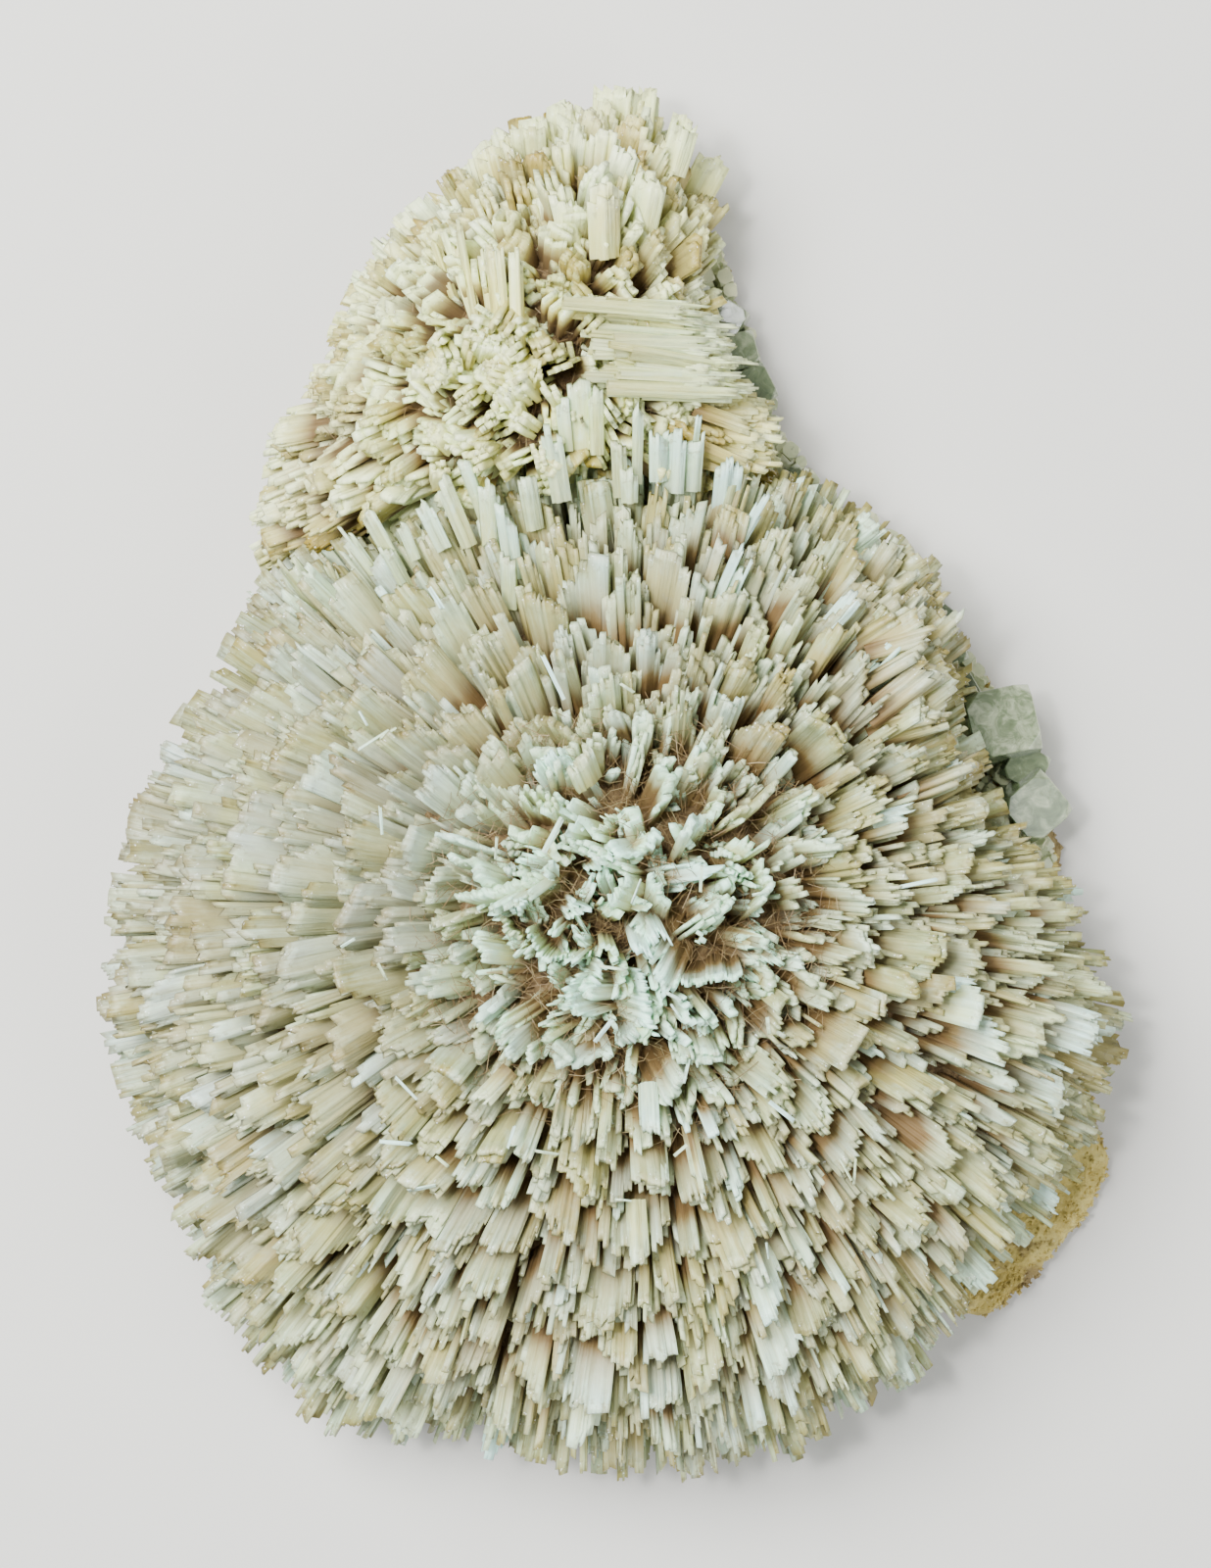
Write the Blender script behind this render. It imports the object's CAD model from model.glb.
# %% [markdown]
# # A scolecite spray, needle by needle
#
# Scolecite is a zeolite that grows as thin, four-sided needles. In this specimen thousands of
# them radiate from two points on a slab of brown rock, so they make two domes that lean on each
# other. This lesson builds the needles as real geometry and explains each choice on the way.
#
# The packed model is loaded first. It is a fixed frame: everything below is placed in its
# metres, and each coarse solid is then replaced by a finer piece of the same reach.

# %% Load the frame
import math

import bmesh
import bpy
import numpy as np
from mathutils import Matrix, Vector


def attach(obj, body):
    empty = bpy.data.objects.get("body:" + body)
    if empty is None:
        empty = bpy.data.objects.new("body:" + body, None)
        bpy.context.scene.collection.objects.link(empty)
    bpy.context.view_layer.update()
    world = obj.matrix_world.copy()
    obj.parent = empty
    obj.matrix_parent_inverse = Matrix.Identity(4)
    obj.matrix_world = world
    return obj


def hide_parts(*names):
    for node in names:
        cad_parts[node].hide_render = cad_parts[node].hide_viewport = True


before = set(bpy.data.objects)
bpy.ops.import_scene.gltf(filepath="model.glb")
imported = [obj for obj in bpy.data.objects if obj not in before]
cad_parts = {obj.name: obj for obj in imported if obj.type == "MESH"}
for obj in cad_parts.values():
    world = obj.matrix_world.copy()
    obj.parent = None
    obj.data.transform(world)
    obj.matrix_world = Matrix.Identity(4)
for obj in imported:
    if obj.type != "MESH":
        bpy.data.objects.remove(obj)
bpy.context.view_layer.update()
MM = 0.001
print("solids in the frame:", sorted(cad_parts))

# %% [markdown]
# ## The camera
#
# The specimen lies on its back and the photograph looks straight down on it. A pixel is an
# eighth of a millimetre at the height of the rim, so the frame of 1236 by 1600 pixels covers
# 154.5 by 200 mm there. The lens follows from that size and from how far away the camera is.
# Half a metre is a guess that keeps the perspective gentle.

# %% Place the camera above the specimen
PIXEL = 0.125 * MM
FRAME_PIXELS = (1236, 1600)
CENTRE_PIXEL = (640, 930)
RIM_LEVEL = 15.0 * MM
CAMERA_RISE = 520.0 * MM
SENSOR_WIDTH = 36.0
MIDDLE = ((FRAME_PIXELS[0] / 2 - CENTRE_PIXEL[0]) * PIXEL,
          (CENTRE_PIXEL[1] - FRAME_PIXELS[1] / 2) * PIXEL)


def spot(across, down, height):
    """The place under a pixel of the photograph, at a height in metres: nearer means smaller."""
    shrink = (RIM_LEVEL + CAMERA_RISE - height) / CAMERA_RISE
    return (MIDDLE[0] + (across - FRAME_PIXELS[0] / 2) * PIXEL * shrink,
            MIDDLE[1] - (down - FRAME_PIXELS[1] / 2) * PIXEL * shrink)


def stand(name, data):
    """A new object in the scene, which shows a mesh, a lamp or a camera."""
    made = bpy.data.objects.new(name, data)
    bpy.context.scene.collection.objects.link(made)
    return made


camera = stand("camera", bpy.data.cameras.new("camera"))
camera.location = (*MIDDLE, RIM_LEVEL + CAMERA_RISE)
camera.data.sensor_width = SENSOR_WIDTH
camera.data.lens = SENSOR_WIDTH * CAMERA_RISE / (FRAME_PIXELS[1] * PIXEL)
camera.data.clip_start = 0.01
bpy.context.scene.camera = camera
print(f"camera at {camera.location.z / MM:.0f} mm, lens {camera.data.lens:.1f} mm")

# %% [markdown]
# ## The floor and the lights
#
# A plain pale floor stands in for the table. The key light is a large soft panel above the
# upper left, as from a window, with a small brighter one beside it for glints on the needle
# ends. A broad fill on the other side keeps the clefts from going black.

# %% Lay the floor and hang the lights
LIT_PLACE = Vector((0.0, 10.0 * MM, 20.0 * MM))


def lamp(name, place, size, power, tint):
    """A square panel of light that faces the specimen. Its place and size are in millimetres."""
    made = stand(name, bpy.data.lights.new(name, "AREA"))
    made.location = [part * MM for part in place]
    made.data.size = size * MM
    made.data.energy = power
    made.data.color = tint
    aim = LIT_PLACE - made.location
    made.rotation_euler = aim.to_track_quat("-Z", "Y").to_euler()


lamp("window", (-240, 190, 600), 360, 10.4, (0.98, 1.0, 0.98))
lamp("glint", (-150, 60, 640), 60, 2.2, (1.0, 1.0, 1.0))
lamp("fill", (380, -220, 520), 460, 2.4, (0.94, 0.98, 1.0))

sky = bpy.data.worlds.new("studio")
bpy.context.scene.world = sky
sky.use_nodes = True
glow = sky.node_tree.nodes["Background"].inputs
glow["Color"].default_value = (0.95, 0.97, 1.0, 1.0)
glow["Strength"].default_value = 0.42

bpy.ops.mesh.primitive_plane_add(size=4.0, location=(0.0, 0.0, 0.0))
floor = bpy.context.object
floor.name = "floor"

# %% [markdown]
# ## Shader maths in Python
#
# Materials here are node trees. Written out link by link they are hard to read, so one small
# class wraps a socket: `1 - mask * 0.5` then adds the Math nodes itself. Colours mix through
# their own node, because a Math node would turn them grey.

# %% Wrap a socket in arithmetic
class Value:
    """A number that varies over a surface, held by a socket."""

    def __init__(self, tree, socket):
        self.tree, self.socket = tree, socket

    def maths(self, operation, *others):
        return self.tree.add("ShaderNodeMath", {"operation": operation}, [self, *others])

    def __add__(self, other): return self.maths("ADD", other)
    def __radd__(self, other): return self.maths("ADD", other)
    def __mul__(self, other): return self.maths("MULTIPLY", other)
    def __rmul__(self, other): return self.maths("MULTIPLY", other)
    def __sub__(self, other): return self.maths("SUBTRACT", other)
    def __rsub__(self, other): return self.tree.add(
        "ShaderNodeMath", {"operation": "SUBTRACT"}, [other, self])
    def __truediv__(self, other): return self.maths("DIVIDE", other)

    def clamp(self):
        return self.tree.add("ShaderNodeClamp", {}, [self])

    def step(self, low, high):
        """0 below low, 1 above high, and a smooth rise between them."""
        return self.tree.add("ShaderNodeMapRange", {"interpolation_type": "SMOOTHSTEP"},
                             {"Value": self, "From Min": low, "From Max": high})


print("a value can:", [title for title in vars(Value) if not title.startswith("_")])

# %% [markdown]
# ## A material in a few calls
#
# A second small class holds a material while its node tree fills. Each call adds one node and
# gives back its output, so a finish reads from top to bottom like a recipe. Any node can come
# from `add`, and the calls below it are short names for the few kinds that are used most. The
# floor is the first to get a finish, a plain paper with a faint mottle.

# %% Hold a material and mix the floor's
class Finish:
    """A material and the few calls that fill its node tree."""

    def __init__(self, name, **constants):
        self.material = bpy.data.materials.new(name)
        self.material.use_nodes = True
        self.nodes = self.material.node_tree.nodes
        self.links = self.material.node_tree.links
        self.shader = self.nodes["Principled BSDF"]
        for socket, number in constants.items():
            self.shader.inputs[socket.replace("_", " ")].default_value = number

    def add(self, kind, settings=None, inputs=(), output=0):
        """Any node: its settings first, then values or links for its sockets."""
        node = self.nodes.new(kind)
        for name, value in (settings or {}).items():
            if name == "stops":
                self.stops(node.color_ramp, value)
            else:
                setattr(node, name, value)
        pairs = inputs.items() if isinstance(inputs, dict) else enumerate(inputs)
        for socket, value in pairs:
            self.feed(node.inputs[socket], value)
        return Value(self, node.outputs[output])

    def feed(self, socket, value):
        if isinstance(value, Value):
            self.links.new(value.socket, socket)
        else:
            socket.default_value = value

    def stops(self, ramp, stops):
        while len(ramp.elements) < len(stops):
            ramp.elements.new(0.5)
        for element, (place, colour) in zip(ramp.elements, stops):
            element.position = place
            element.color = (*colour, 1.0)

    def ramp(self, value, stops):
        return self.add("ShaderNodeValToRGB", {"stops": stops}, [value])

    def mix(self, share, under, over, how="MIX"):
        """Two colours, mixed by a share. Its sockets are found by type, as it has several sets."""
        node = self.nodes.new("ShaderNodeMix")
        node.data_type, node.blend_type = "RGBA", how
        for socket, value in ((0, share), (6, under), (7, over)):
            if isinstance(value, tuple) and len(value) == 3:
                value = (*value, 1.0)
            self.feed(node.inputs[socket], value)
        return Value(self, node.outputs[2])

    def stored(self, name):
        """A number that the mesh holds at its points or faces."""
        return self.add("ShaderNodeAttribute", {"attribute_name": name}, output="Fac")

    def noise(self, scale, detail=3.0, rough=0.55, distortion=0.0, place=None):
        where = place or self.add("ShaderNodeTexCoord", output="Object")
        return self.add("ShaderNodeTexNoise", {}, {
            "Vector": where, "Scale": scale, "Detail": detail, "Roughness": rough,
            "Distortion": distortion})

    def bump(self, height, strength, distance):
        return self.add("ShaderNodeBump", {}, {
            "Height": height, "Strength": strength, "Distance": distance})

    def wear(self, **surface):
        """Feeds the shader's sockets, and gives the finished material."""
        for socket, value in surface.items():
            self.feed(self.shader.inputs[socket.replace("_", " ")], value)
        return self.material


def srgb(red, green, blue):
    """A colour picked by eye, 0 to 255, as the linear numbers that shaders use."""
    parts = [part / 255.0 for part in (red, green, blue)]
    return tuple(p / 12.92 if p <= 0.04045 else ((p + 0.055) / 1.055) ** 2.4 for p in parts)


ground = Finish("floor_paper", Roughness=0.85)
ground_tone = ground.mix(ground.noise(40.0), srgb(214, 212, 207), srgb(219, 217, 212))
floor.data.materials.append(ground.wear(Base_Color=ground_tone))
print("cream, linear:", [round(part, 3) for part in srgb(226, 224, 204)])

# %% [markdown]
# ## The form the needle tips reach
#
# Each dome is described by how far its tips reach at the rim, every 15 degrees round, and by
# its height. In between, a super-ellipse fills the shoulder. Where the two sprays met, the tips
# stop at a plane that leans over the upper one. Working on whole arrays of directions at once
# keeps this fast for tens of thousands of needles.

# %% Describe the two domes
SEAT = 10.3 * MM
FULLNESS = 2.3
MEETING = 47.0 * MM
MEETING_WAY = np.array((-0.17, 0.95, -0.26)) / np.linalg.norm((-0.17, 0.95, -0.26))
DROOP_FROM, DROOP_TO = math.radians(155.0), math.radians(285.0)
RIM_ROW = 0.32
WELL_PAST = 50.0 * MM
HALF_GAP = 0.15 * MM


def units(ways):
    """The same directions, one unit long."""
    return ways / np.linalg.norm(ways, axis=-1, keepdims=True)


def smooth(value, low, high):
    """0 below low, 1 above high, and a smooth rise between them."""
    share = np.clip((value - low) / (high - low), 0.0, 1.0)
    return share * share * (3.0 - 2.0 * share)


class Dome:
    """The form that one spray's tips reach."""

    def __init__(self, centre_mm, reach_mm, height_mm, root_mm, undercut_mm, side, droop, aside,
                 source_mm=(0.0, 0.0, 0.0)):
        self.centre, self.source = np.array(centre_mm) * MM, np.array(source_mm) * MM
        self.reach = np.array(reach_mm) * MM
        self.height, self.root, self.undercut = height_mm * MM, root_mm * MM, undercut_mm * MM
        self.meeting_way = MEETING_WAY * side
        meeting = MEETING_WAY * MEETING + np.array((0.0, 0.0, SEAT))
        self.room = (meeting - self.centre) @ self.meeting_way - HALF_GAP
        self.droop, self.aside = droop, aside

    def rim(self, x, y):
        """How far the tips reach at the rim, for directions seen from above."""
        place = np.mod(np.arctan2(y, x) / math.tau, 1.0) * len(self.reach)
        before = np.floor(place).astype(int) % len(self.reach)
        after = (before + 1) % len(self.reach)
        share = smooth(place - np.floor(place), 0.0, 1.0)
        return self.reach[before] * (1.0 - share) + self.reach[after] * share

    def top(self, x, y):
        """The height of the tips over a place, seen from above."""
        x, y = x - self.centre[0], y - self.centre[1]
        across = np.minimum(np.hypot(x, y) / self.rim(x, y), 1.0)
        return self.centre[2] + self.height * (1.0 - across**FULLNESS) ** (1.0 / FULLNESS)

    def tips(self, ways, past=0.0):
        """Distance from the centre to the tips, for many directions at once."""
        across = np.hypot(ways[..., 0], ways[..., 1]) / self.rim(ways[..., 0], ways[..., 1])
        up = np.abs(ways[..., 2]) / self.height
        dome = (across**FULLNESS + up**FULLNESS) ** (-1.0 / FULLNESS)
        towards = ways @ self.meeting_way
        return np.minimum(dome, (self.room + past) / np.maximum(towards, 1e-6))

    def roots(self, ways):
        """Distance from the centre to the roots. They may run on under the other spray."""
        far = self.tips(ways, self.undercut)
        return np.maximum(far - self.root, far * 0.5)

    def lean(self, ways):
        """The axes of needles that start in these directions.

        They run from the source, which may lie off the centre. Those at the rim may droop, and
        those at the meeting may turn aside along it.
        """
        heading = np.mod(np.arctan2(ways[..., 1], ways[..., 0]), math.tau)
        drooping = (heading > DROOP_FROM) & (heading < DROOP_TO) & (ways[..., 2] < RIM_ROW)
        far = self.tips(ways, WELL_PAST)
        axes = units(ways * far[..., None] - self.source)
        axes[..., 2] -= np.where(drooping, self.droop * (1.0 - ways[..., 2] / RIM_ROW), 0.0)
        towards = ways @ self.meeting_way
        near = smooth(towards * far / self.room, 0.7, 1.3) * self.aside
        return units(axes - self.meeting_way * (towards * near)[..., None])


main = Dome((0.0, 0.0, SEAT / MM), reach_mm=(
    60.0, 50.5, 51.5, 59.5, 61.0, 62.0, 62.0, 62.0, 62.0, 64.5, 62.5, 65.0,
    67.5, 70.0, 70.5, 75.0, 77.0, 72.5, 73.0, 73.5, 71.5, 67.5, 68.0, 67.5,
), height_mm=44.0, root_mm=15.0, undercut_mm=6.0, side=1.0, droop=0.15, aside=0.0)
upper = Dome((-14.0, 66.0, SEAT / MM), reach_mm=(
    32.0, 28.5, 31.0, 37.5, 41.5, 40.0, 35.5, 30.5, 28.0, 27.5, 26.0, 26.0,
    29.5, 34.0, 40.0, 42.0, 42.0, 42.0, 42.0, 42.0, 42.0, 42.0, 41.0, 36.0,
), height_mm=31.0, root_mm=11.0, undercut_mm=1.5, side=-1.0, droop=0.0, aside=0.3,
    source_mm=(8.0, 5.0, 0.0))


def skin(x, y):
    """The height of the specimen's skin of tips over a place."""
    return np.maximum(main.top(x, y), upper.top(x, y))


print("height of the skin at the two poles, mm:",
      [round(float(skin(*dome.centre[:2]) / MM), 1) for dome in (main, upper)])

# %% [markdown]
# ## Plates of needles
#
# The needles aren't spread evenly. They stand side by side in plates, each a few millimetres
# wide and one to four needles thick, with a cleft to the next plate. On the flanks a plate lies
# with its broad face up, like a shingle. Round the crown the plates stand on end and turn every
# way. Large plates are thrown on the dome first, and smaller and shorter ones then fill the
# places left. One that lands on another is thrown away, which is a simple way to get an even but
# irregular cover.

# %% Throw the plates on a dome
class Plates:
    """Directions, frames, sizes and looks of the plates of one spray."""

    def __init__(self, dome, tiers, seed):
        self.dome, self.dice = dome, np.random.default_rng(seed)
        self.splay, self.squeeze = 0.25, 0.85
        self.kept = {}
        for tries, look in tiers:
            self.throw(tries, look)
            print("  plates so far:", len(self.kept["ways"]))
        for title, numbers in self.kept.items():
            setattr(self, title, numbers)

    def throw(self, tries, look):
        """Throws one size of plate, and keeps those that are clear of all the others."""
        dice, dome = self.dice, self.dome
        ways = dice.normal(size=(tries, 3))
        ways[:, 2] = np.abs(ways[:, 2]) - 0.02
        ways = units(ways)
        far = dome.tips(ways)
        ways = ways[dice.random(tries) < (far / far.max()) ** 2]
        far = dome.tips(ways)
        new = look(ways, far, dice)
        order = np.argsort(-new["across"] * (0.4 + 1.2 * dice.random(len(ways))))
        ways, far, new = ways[order], far[order], {name: part[order] for name, part in new.items()}
        level = units(np.cross((0.0, 0.0, 1.0), ways + 0.01 * dice.normal(size=ways.shape)))
        level = units(level - ways * np.sum(level * ways, axis=1)[:, None])
        steep = np.cross(ways, level)
        turn = new.pop("turn")[:, None]
        wide = level * np.cos(turn) + steep * np.sin(turn)
        new.update(ways=ways, far=far, wide=wide, thick=np.cross(ways, wide))
        names = ("ways", "far", "wide", "thick", "across", "half", "room_wide", "room_thick")
        before = {name: self.kept.get(name, numbers[:0]) for name, numbers in new.items()}
        taken = {name: np.concatenate([before[name], new[name]]) for name in names}
        count, chosen = len(before["ways"]), []
        for one in range(len(ways)):
            if count:
                others = {name: numbers[:count] for name, numbers in taken.items()}
                if self.crowded({name: new[name][one] for name in names}, others):
                    continue
            for name in names:
                taken[name][count] = new[name][one]
            count += 1
            chosen.append(one)
        for name, numbers in new.items():
            self.kept[name] = np.concatenate([before[name], numbers[chosen]])

    @staticmethod
    def crowded(one, others):
        """Whether a plate lands on any of the others, in either plate's frame."""
        gap = (one["ways"] - others["ways"]) * one["far"]
        ux = others["wide"] @ one["wide"]
        vx = others["thick"] @ one["wide"]
        uy = others["wide"] @ one["thick"]
        vy = others["thick"] @ one["thick"]
        half_u = np.hypot(one["across"] * ux, one["half"] * uy)
        half_v = np.hypot(one["across"] * vx, one["half"] * vy)
        spread_u = others["across"] + half_u + one["room_wide"]
        spread_v = others["half"] + half_v + one["room_thick"]
        du = np.einsum("ij,ij->i", gap, others["wide"])
        dv = np.einsum("ij,ij->i", gap, others["thick"])
        return ((du / spread_u) ** 2 + (dv / spread_v) ** 2).min() < 1.0


print(f"the rim of the main dome is {math.tau * main.reach.mean() / MM:.0f} mm round")

# %% [markdown]
# ## The look of a plate
#
# A plate gets its look from where it stands. A few helpers say where that is, each with a number
# from 0 to 1: at the meeting, on the crown, or on the side that faces one way.

# %% Say where a plate stands
def seamness(dome, ways, far):
    """1 for directions that end on the meeting with the other spray."""
    return smooth(ways @ dome.meeting_way * far / dome.room, 0.75, 1.0)


def crownness(ways, far):
    """1 round the crown of the main dome, 0 on its flanks."""
    aside = np.hypot(ways[:, 0], ways[:, 1]) * far
    return 1.0 - smooth(aside, 12.0 * MM, 33.0 * MM)


def facing(ways, heading, spread):
    """1 for directions that face a heading, in degrees from the right, fading over the spread."""
    off = np.degrees(np.arctan2(ways[:, 1], ways[:, 0])) - heading
    return np.exp(-((np.mod(off + 180.0, 360.0) - 180.0) / spread) ** 2)


up_and_right = np.array(((0.0, 0.0, 1.0), (1.0, 0.0, 0.0)))
print("crown of a plate at the pole and of one at the rim:", crownness(up_and_right, 60.0 * MM))

# %% [markdown]
# The plates of the crown stand on end, bent and torn. Those that face left are broad, smooth and
# hazy, and those over the ledge are darker. Their numbers say how wide and thick a plate is
# (across, half) and how much room it keeps (room_wide, room_thick). They say how it is turned
# (turn, tilt), how far its end stays below the dome (short) and how that end is cut (pitch,
# stair, slant, wedge, round, taper). The rest bend its face (sag, wave, torn) and colour it
# (stain, light, hue, glass, facing_up).

# %% Throw the main spray's plates
HAZY_SIDE, RING_GAP_SIDE, CLEAR_SIDE, LEDGE_SIDE = 172.0, 175.0, 5.0, 30.0


def lopsided(draw):
    """Random values whose high side reaches further: a few plates are far whiter than the rest."""
    return draw + 0.35 * draw**2


def between(limits, share):
    """The number that lies a share of the way from the first limit to the second."""
    return limits[0] + (limits[1] - limits[0]) * share


def draws(dice, count):
    """Two calls that draw a random number for each plate: even from 0 to 1, and bell-shaped."""
    return (lambda: dice.random(count)), (lambda: dice.normal(size=count))


def main_look(width, room, short, broad):
    """A tier of the main spray: widths, room, shortness and extra breadth at the crown."""
    def look(ways, far, dice):
        even, bell = draws(dice, len(ways))
        crown = crownness(ways, far)
        flank, pole = 1.0 - crown, crown**2
        rim = 1.0 - smooth(ways[:, 2], 0.05, 0.4)
        left = facing(ways, HAZY_SIDE, 55.0) * flank
        right = facing(ways, CLEAR_SIDE, 55.0) * flank
        ledge = facing(ways, LEDGE_SIDE, 45.0) * rim
        ring = 4.0 * crown * flank * (1.0 - facing(ways, RING_GAP_SIDE, 60.0))
        across = between(width, even() ** 2.0)
        across *= 1.0 + 0.45 * left - 0.30 * rim + broad * pole - 0.15 * ring
        half = (0.40 + 0.55 * even()) * (1.0 - 0.15 * crown - 0.30 * left)
        lag = between(short, even()) * (0.74 - 0.06 * left - 0.09 * crown)
        lag = lag * (1.0 - 0.7 * seamness(main, ways, far))
        turn = bell() * (0.28 + 1.6 * crown**1.5)
        pitch = np.clip(0.52 * np.exp(0.35 * bell()), 0.34, 1.3)
        stair = 0.35 + 1.2 * even()
        slant = bell() * (0.90 - 0.40 * left)
        wedge = np.abs(bell()) * (3.3 - 1.3 * left - 0.9 * rim - 0.8 * crown)
        return {
            "across": across * MM, "half": half * MM,
            "room_wide": room[0] * (1.0 + 0.4 * crown) * MM,
            "room_thick": room[1] * (1.0 - 0.55 * pole - 0.30 * rim + 0.15 * ring) * MM,
            "turn": turn, "slant": slant, "wedge": wedge * MM, "short": lag * MM,
            "tilt": 0.05 + 0.27 * crown,
            "pitch": pitch * (1.0 + 0.30 * left - 0.30 * pole) * MM,
            "stair": (1.05 - 0.50 * left + 0.35 * crown) * stair * MM,
            "round": np.zeros(len(ways)),
            "sag": bell() * (0.22 + 0.85 * crown) * MM,
            "wave": even() * (0.05 + 0.45 * crown) * MM,
            "torn": (0.065 + 0.045 * crown - 0.025 * left) * MM,
            "taper": 0.65 + 0.25 * pole,
            "stain": 8.5 + 8.3 * left + 0.1 * crown + 1.5 * rim + 1.4 * bell(),
            "light": (0.26 - 0.14 * left + 0.05 * crown) * lopsided(bell()) - 0.70 * flank
                     + 0.06 * left - 0.06 * right - 0.35 * ledge + 0.10 * ring + 0.08 * pole,
            "hue": np.clip(0.45 + (0.34 - 0.21 * left) * bell() - 0.04 * right - 0.22 * left
                           + 0.35 * ledge, 0.0, 1.0),
            "glass": np.clip(0.10 + 0.80 * left + 0.2 * bell(), 0.0, 1.0),
            "facing_up": crown,
        }
    return look


main_plates = Plates(main, [
    (9000, main_look((0.6, 2.9), (1.0, 4.4), (0.0, 2.2), 0.65)),
    (14000, main_look((0.6, 2.4), (0.25, 2.1), (1.5, 6.8), 0.70)),
    (26000, main_look((0.4, 1.4), (0.08, 0.50), (4.0, 10.5), 0.4))], 21)
print("plates in the main spray:", len(main_plates.ways))

# %% [markdown]
# ## Blades
#
# Seen close, a plate is a blade: its needles have grown together side by side, so its faces
# are fluted rather than split into rods. Only its end shows the single needles, as a torn,
# stair-like edge. So each layer of a plate is one closed strip, and every needle in it gives two
# pairs of corners, front and back. Its length follows the plate: a slant or a wedge over the whole
# width, with steps between groups of needles. The needles run out from the dome's source, and
# those at the meeting may go a little past it.

# %% Set out the needles of a plate
LAYER = 0.95 * MM
GROUP_ENDS = 0.40
COLUMN_WIDTH = 0.94


def blade_columns(plates, one, dice):
    """The corner columns of every layer of one plate."""
    pitch, across = plates.pitch[one], plates.across[one]
    layers = max(1, round(2.0 * plates.half[one] / LAYER))
    needles = max(2, round(2.0 * across / pitch))
    bend, phase = 1.5 + 1.5 * dice.random(), dice.random() * math.tau
    rows = []
    for layer in range(layers):
        widths = pitch * (0.55 + 0.9 * dice.random(needles))
        edges = np.cumsum(widths)
        at_u = edges - widths / 2.0 - edges[-1] / 2.0 + 0.25 * pitch * dice.normal()
        span = at_u / max(across, pitch)
        group = np.cumsum(dice.random(needles) < GROUP_ENDS)
        shared = dice.normal(size=needles + 1)[group]
        length = plates.stair[one] * (shared + 0.45 * dice.normal(size=needles))
        length += plates.slant[one] * at_u - plates.wedge[one] * np.abs(span) ** 1.4
        length -= abs(dice.normal()) * 1.1 * MM
        level = (layer + 0.5) * 2.0 / layers - 1.0
        length -= plates.round[one] * level**2
        middle = level * plates.half[one] + plates.sag[one] * (span**2 - 0.3)
        middle = middle + plates.wave[one] * np.sin(bend * span * math.pi + phase)
        middle = middle + plates.torn[one] * dice.normal(size=needles) + 0.07 * MM * shared
        thick = max(plates.half[one] / layers, 0.3 * MM) * (1.0 - 0.40 * np.minimum(span**2, 1.0))
        thick = thick * (1.0 + 2.0 * plates.torn[one] / MM * (dice.random(needles) - 0.6))
        slope = dice.normal(size=needles) * 0.60 * pitch
        tint = 0.11 * dice.normal(size=needles) + 0.07 * shared
        for needle in range(needles):
            for side in (-0.5, 0.5):
                rows.append((one, at_u[needle] + side * COLUMN_WIDTH * widths[needle],
                             middle[needle], thick[needle], length[needle] + side * slope[needle],
                             tint[needle], needle == 0 and side < 0,
                             needle == needles - 1 and side > 0))
    return rows


def radiate(plates, past_meeting):
    """Feet, axes and lengths of the plates of a dome, and how far past the meeting they may go."""
    dice, dome, count = plates.dice, plates.dome, len(plates.ways)
    past = past_meeting[0] + past_meeting[1] * dice.random(count)
    root_at = dome.roots(plates.ways)
    axes = units(dome.lean(plates.ways) + dice.normal(size=(count, 3)) * plates.tilt[:, None])
    length = dome.tips(plates.ways, past) - root_at - plates.short
    return plates.ways * root_at[:, None], axes, length, past


print(f"a layer of needles is about {LAYER / MM:.2f} mm thick")

# %% [markdown]
# Each column of corners has three levels: the root, the shoulder and the tip. A blade that
# would stick out of the dome is cut back to it. Beside the corners, the columns carry numbers
# for the material to read: the depth below the dome, the distance below the blade's own tip, the
# place across and along the grain, and how light and warm the plate is.

# %% Cut the plates into blades
LEVELS = 3
SHORTEST, LOWEST = 2.0 * MM, 1.0 * MM
GRAIN_LOTS = 400.0


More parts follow.
